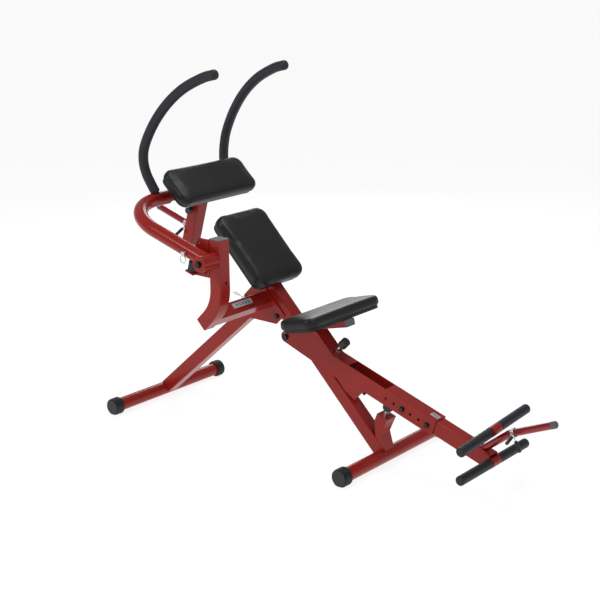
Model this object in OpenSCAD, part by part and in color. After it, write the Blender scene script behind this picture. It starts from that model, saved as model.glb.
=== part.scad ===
// Roman chair with a one-sided crunch arm, a rocking seat lever and two plate posts.
// Millimetres. +X towards the foot rollers, +Y to the user's left, +Z up, floor at Z = 0.

/* [Frame] */
// Distance between the two floor stabilizers
wheelbase = 1089; // [1060:1:1110]
// Width over the end caps of the rear stabilizer
rear_span = 598; // [560:2:640]
// Width over the end caps of the front stabilizer
front_span = 600; // [560:2:640]
// Side of the square frame tube
tube_w = 50; // [49:0.5:51]
// Wall of the square frame tube
tube_wall = 2.5; // [2:0.25:3]
// Diameter of the round stabilizer tubes
stab_d = 50; // [48:1:50]
// Length of the inclined spine, from the front stabilizer up
spine_len = 961; // [940:1:980]
// Angle of the rear leg above the floor
rear_leg_angle = 41.2; // [41:0.1:41.5]

/* [Crunch arm] */
// Height of the arm pivot above the floor
pivot_z = 723.5; // [722:0.5:725]
// Diameter of the bent arm tube
arm_d = 50.8; // [48:0.1:51]
// Centreline radius of the arm bend
arm_bend = 196; // [190:1:205]
// Downward slope of the arm tube towards its pivot
arm_slope = 15.9; // [15.5:0.1:16.2]
// Outside diameter of the foam on the handles
handle_foam_d = 36; // [34:1:40]

/* [Lever and feet] */
// Slope of the foot lever below level
lever_angle = 17.3; // [17:0.1:17.5]
// Distance of the lower foot roller from the lever datum
lever_reach = 548; // [520:1:570]
// Outside diameter of the foot roller foam
roller_d = 33; // [28:1:38]
// Length over both halves of a foot roller
roller_len = 400; // [360:5:420]
// Tilt of the upper foot roller about the lever, near end down
roller_tilt = 4; // [0:0.5:5]
// Diameter of the plate posts
post_d = 25; // [24:0.1:25.4]
// Free length of a plate post
post_len = 166; // [150:1:180]

/* [Pads] */
// Width and length of the seat
seat_size = [398, 166]; // [140:1:410]
// Width and length of the back pad
back_size = [252, 312]; // [240:1:320]
// Width and length of the upper pad
upper_size = [396, 158]; // [140:1:410]
// Thickness of each pad with its board
pad_t = 49; // [46:1:52]

/* [Hidden] */

$fn = 48;
round_r = 4;          // outer corner radius of the square tubes
plate_t = 5;          // bracket plates
gap = 0.3;            // clearance between parts that move past each other
stab_z = 29;          // height of both stabilizer axes
cap_r = 31.5;           // end cap radius, cut flat where it meets the floor
cap_len = 38;
cope_start = 12;      // a coped tube starts this far from the axis of the stabilizer
front_shift = 34;     // the front stabilizer sits off-centre
spine_angle = 45;
pivot_x = 617;
upright_y = -316;     // centre plane of the upright
arm_y = -372;         // centre plane of the bent arm tube
bbox_mid = [858.5, -46.2];   // middle of the whole machine, moved to the origin

// Steel, plastic and foam colours
red = [0.50, 0.07, 0.06];
candy = [0.42, 0.03, 0.05];
black = [0.06, 0.06, 0.07];
vinyl = [0.09, 0.09, 0.10];
foam = [0.16, 0.16, 0.18];
grey = [0.38, 0.37, 0.36];
steel = [0.75, 0.75, 0.76];

// ---- frames of reference -------------------------------------------------
module placed(tint) {
    color(tint) translate([-bbox_mid[0], -bbox_mid[1], 0]) children();
}

// Local Z up the spine, local X square to it; t from the front stabilizer, n above its axis
module on_spine(t = 0, n = 0, y = 0) {
    translate([wheelbase, y, stab_z]) rotate([0, spine_angle - 90, 0])
        translate([n, 0, t]) children();
}

// Local Z forward along the lever, local X above its axis
lever_datum = [1000, 285];
module on_lever(u = 0, n = 0, y = 0) {
    translate([lever_datum[0], y, lever_datum[1]]) rotate([0, 90 + lever_angle, 0])
        rotate([0, 0, 180]) translate([n, 0, u]) children();
}
function lever_xz(u, n) = [lever_datum[0] + u * cos(lever_angle) + n * sin(lever_angle),
    lever_datum[1] - u * sin(lever_angle) + n * cos(lever_angle)];
function spine_xz(t, n) = [wheelbase - t * cos(spine_angle) + n * sin(spine_angle),
    stab_z + t * sin(spine_angle) + n * cos(spine_angle)];

// Local Z back along the arm tube from the pivot, local X square above it
module on_arm(u = 0, n = 0, y = 0) {
    translate([pivot_x, y, pivot_z]) rotate([0, arm_slope - 90, 0])
        translate([n, 0, u]) children();
}

// Local Z up the leaning post, local X to its front
post_lean = 16.8;
post_foot = [151, 619];
post_height = 240;
module on_post(h = 0, n = 0, y = 0) {
    translate([post_foot[0], y, post_foot[1]]) rotate([0, post_lean, 0])
        translate([n, 0, h]) children();
}

// Local Z square out of the upper pad, local X down its face
upper_tilt = 43;
upper_mid = [274, 898];
module on_upper_pad(n = 0) {
    translate([upper_mid[0], 0, upper_mid[1]]) rotate([0, upper_tilt, 0])
        translate([0, 0, n]) children();
}

// Local Z square out of the seat, local X towards its front
seat_tilt = 14;
seat_mid = [842, 496];
module on_seat(n = 0) {
    translate([seat_mid[0], 0, seat_mid[1]]) rotate([0, -seat_tilt, 0])
        translate([0, 0, n]) children();
}

// A flat plate cut to an outline in the X-Z plane
module side_plate(outline, y, t) {
    translate([0, y + t / 2, 0]) rotate([90, 0, 0]) linear_extrude(t) polygon(outline);
}

// ---- shapes that repeat --------------------------------------------------
module rounded(w, h, r) {
    square([w - 2 * r, h], center = true);
    square([w, h - 2 * r], center = true);
    for (x = [-1, 1], y = [-1, 1])
        translate([x * (w / 2 - r), y * (h / 2 - r)]) circle(r, $fn = 24);
}

module box_tube(w, h, l, wall = tube_wall, r = round_r) {
    linear_extrude(l) difference() {
        rounded(w, h, r);
        square([w - 2 * wall, h - 2 * wall], center = true);
    }
}

module round_tube(d, l, wall = 2) {
    difference() {
        cylinder(d = d, h = l);
        translate([0, 0, -1]) cylinder(d = d - 2 * wall, h = l + 2);
    }
}

module across(y0, y1) {
    translate([0, y0, 0]) rotate([-90, 0, 0]) linear_extrude(y1 - y0) children();
}

module axle_y(x, z, d, y0, y1) {
    translate([x, y0, z]) rotate([-90, 0, 0]) cylinder(d = d, h = y1 - y0);
}

// Hexagon bolt head with its washer, standing in +Z
module bolt_head(d) {
    cylinder(d = 2 * d, h = 1.5);
    translate([0, 0, 1.5]) cylinder(d = 1.85 * d, h = 0.62 * d, $fn = 6);
}

module bolt_y(x, z, d, y_head, y_end) {
    translate([x, y_head, z]) rotate([90, 0, 0]) bolt_head(d);
    axle_y(x, z, d, y_head, y_end);
}

module nut_y(x, z, d, y) {
    translate([x, y, z]) rotate([-90, 0, 0]) difference() {
        union() {
            cylinder(d = 2 * d, h = 1.5);
            translate([0, 0, 1.5]) cylinder(d = 1.85 * d, h = 0.8 * d, $fn = 6);
        }
        translate([0, 0, -1]) cylinder(d = d, h = 2 + d);
    }
}

module stabilizer(x, span, shift = 0) {
    difference() {
        axle_y(x, stab_z, stab_d, shift - span / 2 + 6, shift + span / 2 - 6);
        axle_y(x, stab_z, stab_d - 2 * tube_wall, -span, span);
    }
}

// Rubber end cap with grip rings, cut flat underneath
module end_cap(x, y, side) {
    intersection() {
        translate([x, y, stab_z]) rotate([side * 90, 0, 0]) difference() {
            union() {
                translate([0, 0, 3]) cylinder(r = cap_r, h = cap_len - 3);
                cylinder(r = cap_r - 3, h = cap_len);
                for (i = [0:3]) translate([0, 0, 8 + 8 * i]) cylinder(r = cap_r + 1.2, h = 3);
            }
            translate([0, 0, 6]) cylinder(d = stab_d, h = cap_len);
        }
        translate([x - 60, -400, 0]) cube([120, 800, 120]);
    }
}

module end_caps(x, span, shift = 0) {
    end_cap(x, shift - span / 2, -1);
    end_cap(x, shift + span / 2, 1);
}

// Slab with rounded corners in plan, standing in +Z
module slab(size, t, r) {
    linear_extrude(t) rounded(size[1], size[0], r);
}

// Spring collar: closed coil with two gripped arms, spread either side of -Y
module spring_collar() {
    difference() {
        cylinder(d = post_d + 9, h = 16);
        translate([0, 0, -1]) cylinder(d = post_d + 0.6, h = 18);
    }
    for (s = [-1, 1]) translate([0, 0, s > 0 ? 3 : 13]) rotate([90, 0, s * 40]) {
        translate([0, 0, post_d / 2 + 1.5]) cylinder(d = 4, h = 20);
        translate([0, 0, post_d / 2 + 16]) cylinder(d = 12, h = 40);
    }
}

// Plate post along +Z: bored for its cap, and a touch thinner where the collar is parked
park_from = 6;
park_to = 32;
post_bore = 19;
module plate_post(l) {
    difference() {
        union() {
            cylinder(d = post_d, h = park_from);
            translate([0, 0, park_from]) cylinder(d = post_d - 1.2, h = park_to - park_from);
            translate([0, 0, park_to]) cylinder(d = post_d, h = l - park_to);
        }
        translate([0, 0, l - 15]) cylinder(d = post_bore, h = 20);
    }
}

// Post cap: head flush with the post so that plates pass, domed, on a spigot
module post_cap() {
    cylinder(d = post_d, h = 15);
    translate([0, 0, 15]) cylinder(d1 = post_d, d2 = post_d - 6, h = 4);
    translate([0, 0, -14]) cylinder(d = post_bore, h = 14);
}

// Pull pin, pointing down -Z: ribbed knob and a plunger, drawn just clear of the inner tube
module pull_pin(knob_d, knob_h, stand) {
    translate([0, 0, stand + 1.5]) difference() {
        cylinder(d = knob_d, h = knob_h);
        for (a = [0:30:330]) rotate([0, 0, a]) translate([knob_d / 2 + 1.5, 0, -1])
            cylinder(r = 2.5, h = knob_h - 3, $fn = 16);
    }
    translate([0, 0, -tube_wall - 0.2]) cylinder(d = 10, h = stand + 8);
}

// Threaded barrel that guides a pull pin
module pin_barrel(stand) {
    difference() {
        union() {
            cylinder(d = 20, h = 7, $fn = 6);
            cylinder(d = 16, h = stand);
        }
        translate([0, 0, -1]) cylinder(d = 10.1, h = stand + 2);
    }
}

// Quick-release pin: shaft along +Y with a head at its -Y end, and a ring hung off the head
module ring_pin(x, y, z, d, l, swing, hang = 20, flat = 0) {
    axle_y(x, z, d, y, y + l);
    axle_y(x, z, 1.7 * d, y - 9, y);
    translate([x, y - 5, z]) rotate([0, swing, 0]) {
        translate([0, 0, -hang]) rotate([90, 0, flat])
            rotate_extrude($fn = 48) translate([13, 0]) circle(1.6, $fn = 16);
        translate([0, 0, 13 - hang]) cylinder(d = 3.2, h = hang - 13);
    }
}

// ---- spine and stabilizers -----------------------------------------------
module spine_tube() {
    placed(red) difference() {
        on_spine(cope_start) box_tube(tube_w, tube_w, spine_len - cope_start);
        axle_y(wheelbase, stab_z, stab_d, -200, 200);
        for (t = back_bolt_t) on_spine(t, 0) rotate([0, 90, 0])
            cylinder(d = 8.2, h = 80, center = true);
    }
}

// Plug for the end of a frame tube: a 3 mm flange and a body inside the tube
module tube_plug(w = tube_w, h = tube_w, r = round_r) {
    linear_extrude(3) rounded(w, h, r);
    translate([0, 0, -18]) linear_extrude(18)
        square([w - 2 * tube_wall, h - 2 * tube_wall], center = true);
}

module frame_plugs() {
    placed(grey) {
        on_spine(spine_len) tube_plug();
        translate([upright_x, upright_y, upright_top]) tube_plug();
    }
}

module front_stabilizer() {
    placed(red) stabilizer(wheelbase, front_span, front_shift);
}

module front_caps() {
    placed(black) end_caps(wheelbase, front_span, front_shift);
}

// ---- rear bracket, crossbar and upright ----------------------------------
leg_pivot = spine_xz(631, -36);
bracket_outline = [spine_xz(781, -5), spine_xz(781, -129), spine_xz(719, -168),
    spine_xz(612, -60), spine_xz(612, -5)];
bracket_y = tube_w / 2 + plate_t / 2;

module bracket_plate(side) {
    placed(red) difference() {
        side_plate(bracket_outline, side * bracket_y, plate_t);
        axle_y(leg_pivot[0], leg_pivot[1], 10.1, -60, 60);
        axle_y(lock_hole[0], lock_hole[1], 10.2, -60, 60);
    }
}

module bracket_plate_near() { bracket_plate(-1); }
module bracket_plate_far() { bracket_plate(1); }

crossbar_t = 708.5;
crossbar_n = -42.4;
module crossbar() {
    y_end = upright_y + tube_w / 2;
    placed(red) on_spine(crossbar_t, crossbar_n) rotate([90, 0, 0])
        translate([0, 0, bracket_y + plate_t / 2])
        box_tube(tube_w, tube_w, -y_end - bracket_y - plate_t / 2);
}

upright_top = 790;
upright_bend = 150;
upright_bend_z = 617;
upright_x = 615.5;
upright_foot = 45;
module upright() {
    placed(red) difference() {
        translate([upright_x, upright_y, 0]) {
            translate([0, 0, upright_bend_z])
                box_tube(tube_w, tube_w, upright_top - upright_bend_z);
            translate([-upright_bend, 0, upright_bend_z]) rotate([-90, 0, 0])
                rotate_extrude(angle = 45, $fn = 96) translate([upright_bend, 0]) difference() {
                    rounded(tube_w, tube_w, round_r);
                    square(tube_w - 2 * tube_wall, center = true);
                }
            translate([-upright_bend, 0, upright_bend_z]) rotate([0, 45, 0])
                translate([upright_bend, 0, -upright_foot])
                box_tube(tube_w, tube_w, upright_foot);
        }
        axle_y(pivot_x, pivot_z, 12.1, upright_y - 40, upright_y + 40);
        translate([upright_x, upright_y + 4, 640]) rotate([0, 90, 0]) cylinder(d = 10, h = 60);
    }
}

// Sector plate behind the upright: a row of holes on an arc round the arm pivot
sector_y = upright_y - tube_w / 2 + 3;
sector_outline = [[upright_x - tube_w / 2, 789], [546, 789], [494, 700], [506, 656],
    [upright_x - tube_w / 2, 656]];
module sector_plate() {
    placed(red) difference() {
        side_plate(sector_outline, sector_y, 6);
        for (a = [-20:20:20]) axle_y(pivot_x - lock_u * cos(arm_slope - 2 + a),
            pivot_z + lock_u * sin(arm_slope - 2 + a), 10.2, -400, -300);
    }
}

// Rubber bumper under the arm tube and the bracket that carries it
rest_u = 62;
rest_y = [arm_y - 18, upright_y - tube_w / 2];
module arm_rest() {
    placed(red) {
        on_arm(rest_u - 22, -arm_d / 2 - 42) translate([0, rest_y[0], 0])
            cube([plate_t, rest_y[1] - rest_y[0], 38]);
        on_arm(rest_u - 36, -arm_d / 2 - 42) translate([0, rest_y[1] - plate_t, 0])
            cube([29, plate_t, 52]);
    }
}

module arm_bumper() {
    placed(black) on_arm(rest_u, -arm_d / 2 - 37) translate([0, arm_y, 0]) rotate([0, 90, 0]) {
        cylinder(d = 33, h = 31);
        translate([0, 0, 31]) cylinder(d1 = 33, d2 = 28, h = 6 - gap);
    }
}

// ---- lever rest on the front stabilizer ----------------------------------
bumper_u = 115;
lever_half = 28.4;     // half depth of the lever box
bumper_h = 26;
stud_h = 22;
rest_n = -lever_half - gap - bumper_h - stud_h;
rest_ends = [94, 141];
module lever_rest() {
    top = [for (u = rest_ends, n = [rest_n, rest_n - plate_t]) lever_xz(u, n)];
    flank = [top[0], top[2], [1086, 112], [1104, 52], [1101, 40], [1062, 40], [1060, 100],
        [1056, 156]];
    placed(red) difference() {
        union() {
            for (s = [-1, 1]) side_plate(flank, s * 22.5, plate_t);
            side_plate([top[0], top[2], top[3], top[1]], 0, 40);
            side_plate([top[2], [1086, 112], [1104, 52], [1098, 52], [1081, 112],
                top[3] - [plate_t, 0]], 0, 40);
        }
        axle_y(wheelbase, stab_z, stab_d, -200, 200);
        on_spine(0, 0) translate([-40, -tube_w / 2 - 2, -40]) cube([65, tube_w + 4, 300]);
        on_lever(bumper_u, rest_n - 10) rotate([0, 90, 0]) cylinder(d = 10, h = 40);
    }
}

module lever_bumper() {
    placed(black) on_lever(bumper_u, rest_n + stud_h) rotate([0, 90, 0]) difference() {
        union() {
            cylinder(d1 = 34, d2 = 38, h = 6);
            translate([0, 0, 6]) cylinder(d = 38, h = bumper_h - 10);
            translate([0, 0, bumper_h - 4]) cylinder(d1 = 38, d2 = 32, h = 4);
        }
        translate([0, 0, -1]) cylinder(d = 10, h = 13);
    }
}

module lever_bumper_stud() {
    placed(steel) on_lever(bumper_u, rest_n - 14) rotate([0, 90, 0]) {
        cylinder(d = 10, h = 48);
        translate([0, 0, 14]) cylinder(d = 18, h = 7, $fn = 6);
        translate([0, 0, 1]) cylinder(d = 18, h = 8, $fn = 6);
    }
}

// Lug under the spine with the lever's pivot bush
lever_pivot = spine_xz(553, -56.6);
module lever_lug() {
    placed(red) difference() {
        union() {
            axle_y(lever_pivot[0], lever_pivot[1], 30, -25, 25);
            for (s = [-1, 1]) side_plate([spine_xz(590, -25), spine_xz(568, -58),
                spine_xz(540, -62), spine_xz(510, -25)], s * 18, 6);
        }
        axle_y(lever_pivot[0], lever_pivot[1], 12.1, -60, 60);
    }
}

// ---- back pad --------------------------------------------------------------
back_t = 872;
back_bolt_t = [back_t - 90, back_t - 30];
board_t = 12;
module back_board() {
    placed(black) difference() {
        on_spine(back_t, tube_w / 2) rotate([0, 90, 0])
            slab([back_size[0] - 14, back_size[1] - 14], board_t, 34);
        for (t = back_bolt_t) on_spine(t, 30) rotate([0, 90, 0])
            cylinder(d = 8, h = 40, center = true);
    }
}

module back_pad() {
    placed(vinyl) on_spine(back_t, tube_w / 2 + board_t) rotate([0, 90, 0])
        slab(back_size, pad_t - board_t + 5, 42);
}

module back_bolts() {
    placed(black) for (t = back_bolt_t) on_spine(t, -tube_w / 2) rotate([0, 90, 0]) {
        cylinder(d = 8, h = tube_w + board_t - 2);
        rotate([180, 0, 0]) bolt_head(8);
    }
}

// ---- pivots -----------------------------------------------------------------
pivot_tube_y = [-417, upright_y - tube_w / 2 - 3];
module arm_pivot_bolt() {
    y_nut = upright_y + tube_w / 2;
    placed(black) {
        bolt_y(pivot_x, pivot_z, 12, pivot_tube_y[0] - 0.4, y_nut + 14);
        nut_y(pivot_x, pivot_z, 12, y_nut);
    }
}

module leg_pivot_bolt() {
    y_nut = bracket_y + plate_t / 2;
    placed(black) {
        bolt_y(leg_pivot[0], leg_pivot[1], 10, -y_nut, y_nut + 12);
        nut_y(leg_pivot[0], leg_pivot[1], 10, y_nut);
    }
}

// ---- rear leg ---------------------------------------------------------------
leg_w = tube_w - 0.8;
lock_hole = [462, 492];
module rear_leg_tube() {
    placed(red) difference() {
        translate([0, 0, stab_z]) rotate([0, 90 - rear_leg_angle, 0])
            translate([0, 0, cope_start]) box_tube(tube_w, leg_w, 800 - cope_start);
        axle_y(0, stab_z, stab_d, -200, 200);
        on_spine(400, -27) translate([0, -60, 0]) cube([300, 120, 500]);
    }
}

// Ears and bush that carry the leg on its pivot bolt
module rear_leg_lug() {
    foot_hi = [0, stab_z] + 735 * [cos(rear_leg_angle), sin(rear_leg_angle)]
        + 25 * [sin(rear_leg_angle), -cos(rear_leg_angle)];
    foot_lo = foot_hi - 95 * [cos(rear_leg_angle), sin(rear_leg_angle)];
    placed(red) difference() {
        union() {
            for (s = [-1, 1]) side_plate([foot_hi, foot_lo, leg_pivot + [-6, -9],
                leg_pivot + [6, -6], leg_pivot + [4, 7]], s * 17, 6);
            axle_y(leg_pivot[0], leg_pivot[1], 21, -leg_w / 2, leg_w / 2);
        }
        axle_y(leg_pivot[0], leg_pivot[1], 10.1, -60, 60);
    }
}

module rear_stabilizer() {
    placed(red) stabilizer(0, rear_span);
}

module rear_caps() {
    placed(black) end_caps(0, rear_span);
}

module leg_lock_pin() {
    placed(steel) ring_pin(lock_hole[0], -bracket_y - plate_t / 2 - 0.4, lock_hole[1], 10, 66,
        105, 38, 75);
}

// ---- crunch arm ---------------------------------------------------------------
arm_run = 456;         // pivot to the axis of the crossbar, along the arm tube
arm_end_y = -132;
lock_u = 87;           // lock pin, back along the arm tube
module pivot_tube() {
    placed(red) difference() {
        axle_y(pivot_x, pivot_z, 56, pivot_tube_y[0], pivot_tube_y[1]);
        axle_y(pivot_x, pivot_z, 12.1, -500, -300);
    }
}

module arm_tube() {
    placed(red) difference() {
        on_arm(0, 0, arm_y) {
            round_tube(arm_d, arm_run - arm_bend, 2.5);
            translate([0, arm_bend, arm_run - arm_bend]) rotate([0, 90, 0]) rotate([0, 0, 180])
                rotate_extrude(angle = 90, $fn = 96) translate([0, 0])
                translate([arm_bend, 0]) difference() {
                    circle(d = arm_d);
                    circle(d = arm_d - 5);
                }
            translate([0, arm_bend, arm_run]) rotate([-90, 0, 0])
                round_tube(arm_d, arm_end_y - arm_y - arm_bend, 2.5);
        }
        axle_y(pivot_x, pivot_z, 56, -500, -300);
        on_arm(lock_u, -3) rotate([90, 0, 0]) cylinder(d = 10.1, h = 500);
    }
}

// The arm tube's outer shape, to fit what is welded onto it
module arm_shape(d) {
    on_arm(0, 0, arm_y) {
        cylinder(d = d, h = arm_run - arm_bend);
        translate([0, arm_bend, arm_run - arm_bend]) rotate([0, 90, 0]) rotate([0, 0, 180])
            rotate_extrude(angle = 90, $fn = 96) translate([arm_bend, 0]) circle(d = d);
        translate([0, arm_bend, arm_run]) rotate([-90, 0, 0])
            cylinder(d = d, h = arm_end_y - arm_y - arm_bend + 3);
    }
}

crossbar_xz = [pivot_x - arm_run * cos(arm_slope), pivot_z + arm_run * sin(arm_slope)];
handle_y = 187;
module arm_crossbar() {
    placed(red) {
        difference() {
            on_arm(arm_run, 0) translate([0, -190, 0]) rotate([-90, 0, 0])
                round_tube(38, 190 + handle_y + 26);
            on_post() linear_extrude(post_height) rounded(tube_w, tube_w, round_r);
        }
        on_arm(arm_run, 0) translate([0, handle_y + 26, 0]) rotate([-90, 0, 0])
            cylinder(d = 40, h = 4);
        on_arm(arm_run, 0) translate([0, arm_end_y, 0]) rotate([-90, 0, 0])
            round_tube(arm_d, 3, 6.4);
    }
}

pad_pin_h = 174;
module arm_post() {
    placed(red) difference() {
        on_post() box_tube(tube_w, tube_w, post_height);
        on_post(pad_pin_h, 0, -60) rotate([-90, 0, 0]) cylinder(d = 10.1, h = 60);
    }
}

module arm_post_plug() {
    placed(grey) on_post() rotate([180, 0, 0]) tube_plug();
}

// Handle route: hand-set points joined by a smooth curve, mirrored for the far side
handle_route = [[183, 187, 868], [164, 194, 905], [150, 203, 945], [147, 211, 993],
    [160, 213, 1048], [205, 208, 1128], [269, 200, 1203], [345, 192, 1262], [430, 184, 1303],
    [480, 181, 1317]];
function spline(p, i, f) = let (
        n = len(p) - 1,
        a = p[max(i - 1, 0)], b = p[i], c = p[min(i + 1, n)], d = p[min(i + 2, n)])
    0.5 * (2 * b + (c - a) * f + (2 * a - 5 * b + 4 * c - d) * f * f
        + (3 * b - a - 3 * c + d) * f * f * f);
function smooth_route(p, steps) = [for (i = [0:len(p) - 2], k = [0:steps - 1])
    spline(p, i, k / steps), p[len(p) - 1]];
function along(p, i) = let (q = p[min(i + 1, len(p) - 1)] - p[max(i - 1, 0)]) q / norm(q);
// A ring of points round the route; the route stays near one upright plane
function ring_at(p, i, r, n) = let (
        d = along(p, i), s = cross(d, [0, 1, 0]) / norm(cross(d, [0, 1, 0])), w = cross(s, d))
    [for (k = [0:n - 1]) p[i] + r * (cos(360 * k / n) * s + sin(360 * k / n) * w)];
module sweep(route, r, n) {
    m = len(route);
    pts = [for (i = [0:m - 1]) each ring_at(route, i, r, n)];
    sides = [for (i = [0:m - 2], k = [0:n - 1])
        [i * n + k, i * n + (k + 1) % n, (i + 1) * n + (k + 1) % n, (i + 1) * n + k]];
    polyhedron(pts, concat([[for (k = [n - 1:-1:0]) k]], sides,
        [[for (k = [0:n - 1]) (m - 1) * n + k]]), convexity = 6);
}
module both_sides() {
    children();
    mirror([0, 1, 0]) children();
}

module handle_tubes() {
    placed(black) difference() {
        both_sides() sweep(smooth_route(handle_route, 4), 12.5, 16);
        on_arm(arm_run, 0) translate([0, -250, 0]) rotate([-90, 0, 0]) cylinder(d = 51.8, h = 100);
        on_arm(arm_run, 0) rotate([-90, 0, 0]) cylinder(d = 38, h = 300);
    }
}

// Foam stands clear of the socket at the foot of each handle
module handle_grips() {
    route = smooth_route(handle_route, 4);
    foam_route = [for (i = [1:len(route) - 1]) route[i]];
    tip = route[len(route) - 1];
    placed(foam) difference() {
        both_sides() difference() {
            union() {
                sweep(foam_route, handle_foam_d / 2, 24);
                translate(tip) rotate([0, 75, -3]) {
                    cylinder(d = handle_foam_d, h = 10);
                    translate([0, 0, 10])
                        cylinder(d1 = handle_foam_d, d2 = handle_foam_d - 14, h = 7);
                }
            }
            sweep(route, 12.5, 16);
            handle_foot() cylinder(d = 60, h = 24.4);
        }
        arm_shape(arm_d + 0.2);
    }
}

// Foot of the handle, along its first stretch
module handle_foot() {
    foot = handle_route[0];
    lean = atan2(handle_route[1][0] - foot[0], handle_route[1][2] - foot[2]);
    translate([foot[0], foot[1], foot[2] - 18]) rotate([0, lean, 0]) children();
}

module handle_sockets() {
    placed(red) difference() {
        both_sides() handle_foot() cylinder(d = 32, h = 24);
        both_sides() sweep(smooth_route(handle_route, 4), 12.5, 16);
        on_arm(arm_run, 0) rotate([90, 0, 0]) cylinder(d = 38, h = 500, center = true);
        arm_shape(arm_d + 0.1);
    }
}

// ---- plate posts -----------------------------------------------------------
rear_post_h = 96;     // height of the rear plate post up the arm post
module rear_plate_post() {
    placed(candy) on_post(rear_post_h, -tube_w / 2) rotate([0, -90, 0])
        plate_post(post_len - 12);
}

module rear_post_cap() {
    placed(grey) on_post(rear_post_h, -tube_w / 2) rotate([0, -90, 0])
        translate([0, 0, post_len - 12]) post_cap();
}

module rear_spring_collar() {
    placed(steel) on_post(rear_post_h, -tube_w / 2) rotate([0, -90, 0])
        translate([0, 0, 6]) rotate([0, 0, -75]) spring_collar();
}

module arm_lock_pin() {
    placed(steel) on_arm(lock_u, -3) rotate([0, 90 - arm_slope, 0])
        ring_pin(0, arm_y - arm_d / 2 - 1, 0, 10, arm_d + 3, 8);
}

// ---- upper pad -----------------------------------------------------------------
slide_w = tube_w - 2 * tube_wall - 1;
module pad_slide_tube() {
    placed(black) difference() {
        union() {
            on_post(70) box_tube(slide_w, slide_w, 210, 2, 3);
            on_upper_pad(-pad_t / 2 - 5) translate([-52, -35, 0]) cube([104, 70, 5]);
        }
        on_upper_pad(-pad_t / 2) translate([-200, -100, 0]) cube([400, 200, 200]);
        for (k = [0:3]) on_post(pad_pin_h - 20 * k, 0, -60) rotate([-90, 0, 0])
            cylinder(d = 10.1, h = 60);
    }
}

module upper_board() {
    placed(black) on_upper_pad(-pad_t / 2)
        slab([upper_size[0] - 16, upper_size[1] - 16], board_t, 30);
}

module upper_pad() {
    placed(vinyl) on_upper_pad(-pad_t / 2 + board_t)
        slab(upper_size, pad_t - board_t, 38);
}

module pad_pin_barrel() {
    placed(steel) on_post(pad_pin_h, 0, -tube_w / 2) rotate([90, 0, 0]) pin_barrel(8);
}

module pad_pull_pin() {
    placed(black) on_post(pad_pin_h, 0, -tube_w / 2) rotate([90, 0, 0]) pull_pin(25, 18, 8);
}

// ---- lever -----------------------------------------------------------------------
lever_plate_t = 4;
lever_plate_y = tube_w / 2 + 0.6 + lever_plate_t / 2;
receptacle_n = [29, 79];
receptacle_t = [359, 485];
sleeve_u = [100, 320];
lever_outline = [lever_pivot + [-4, -21], [893, 275], [930, 236], [972, 212],
    lever_xz(20, -lever_half), lever_xz(sleeve_u[1], -lever_half),
    lever_xz(sleeve_u[1], lever_half), lever_xz(-138, lever_half),
    spine_xz(receptacle_t[1], receptacle_n[1]), [742, 426], lever_pivot + [-8, 20]];
hole_u = [for (i = [0:5]) 112 + 36 * i];
foot_bolt_u = [hole_u[2], hole_u[5]];
module lever_plate(side) {
    placed(red) difference() {
        union() {
            side_plate(lever_outline, side * lever_plate_y, lever_plate_t);
            axle_y(lever_pivot[0], lever_pivot[1], 43, side * lever_plate_y - 2,
                side * lever_plate_y + 2);
        }
        axle_y(lever_pivot[0], lever_pivot[1], 12.1, -60, 60);
        for (u = hole_u) on_lever(u, -3) rotate([90, 0, 0])
            cylinder(d = 10.2, h = 100, center = true);
    }
}

module lever_plate_near() { lever_plate(-1); }
module lever_plate_far() { lever_plate(1); }

// Webs that box the lever in: over and under the sleeve, and in front of the receptacle
module lever_web(u0, u1, n) {
    w = 2 * lever_plate_y - lever_plate_t;
    placed(red) on_lever(u0, n) translate([0, -w / 2, 0]) cube([3, w, u1 - u0]);
}

module lever_top_plates() {
    lever_web(sleeve_u[0], sleeve_u[1], lever_half - 3);
    lever_web(-132.2, -70, lever_half - 3);
}

module lever_bottom_plate() {
    lever_web(24, sleeve_u[1], -lever_half);
}

module foot_tube() {
    placed(red) difference() {
        on_lever(110, 0) box_tube(tube_w, tube_w, lever_reach - 110);
        for (u = hole_u) on_lever(u, -3) rotate([90, 0, 0])
            cylinder(d = 10.1, h = 100, center = true);
        on_lever(lever_reach - 8, 0) translate([-40, -40, 0]) cube([80, 80, 40]);
    }
}

// Pivot bolt and the two bolts that hold the foot tube, with their nuts
module lever_bolts() {
    y = lever_plate_y + lever_plate_t / 2;
    at = concat([[lever_pivot, 12]], [for (u = foot_bolt_u) [lever_xz(u, -3), 10]]);
    placed(black) for (b = at) {
        bolt_y(b[0][0], b[0][1], b[1], -y, y + b[1]);
        nut_y(b[0][0], b[0][1], b[1], y);
    }
}

// Local Y along a roller, its origin at the middle of the roller
module on_rollers() {
    translate([lower_roller[0], 0, lower_roller[1]]) children();
    translate([upper_roller[0], 0, upper_roller[1]]) rotate([roller_tilt, 0, 0]) children();
}
lower_roller = lever_xz(lever_reach, 0);
upper_roller = [1522, 232];
axle_d = 25;
sleeve_y = [26, roller_len / 2 - 4];

// Axle tubes of both foot rollers with the collars that carry them
module foot_axles() {
    placed(red) difference() {
        on_rollers() {
            axle_y(0, 0, axle_d, -sleeve_y[1], sleeve_y[1]);
            axle_y(0, 0, 34, -24, 24);
        }
        link() cylinder(d = post_d, h = 300, center = true);
        on_lever(lever_reach - 70, 0) translate([-25, -25, 0]) cube([50, 50, 62]);
    }
}

// Foam sleeves, closed and rounded at their outer ends
module foot_rollers() {
    placed(foam) on_rollers() for (s = [-1, 1]) mirror([0, s < 0 ? 1 : 0, 0]) difference() {
        union() {
            axle_y(0, 0, roller_d, sleeve_y[0], sleeve_y[1]);
            axle_y(0, 0, roller_d - 6, sleeve_y[0], sleeve_y[1] + 4);
        }
        axle_y(0, 0, axle_d, 0, sleeve_y[1]);
    }
}

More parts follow.
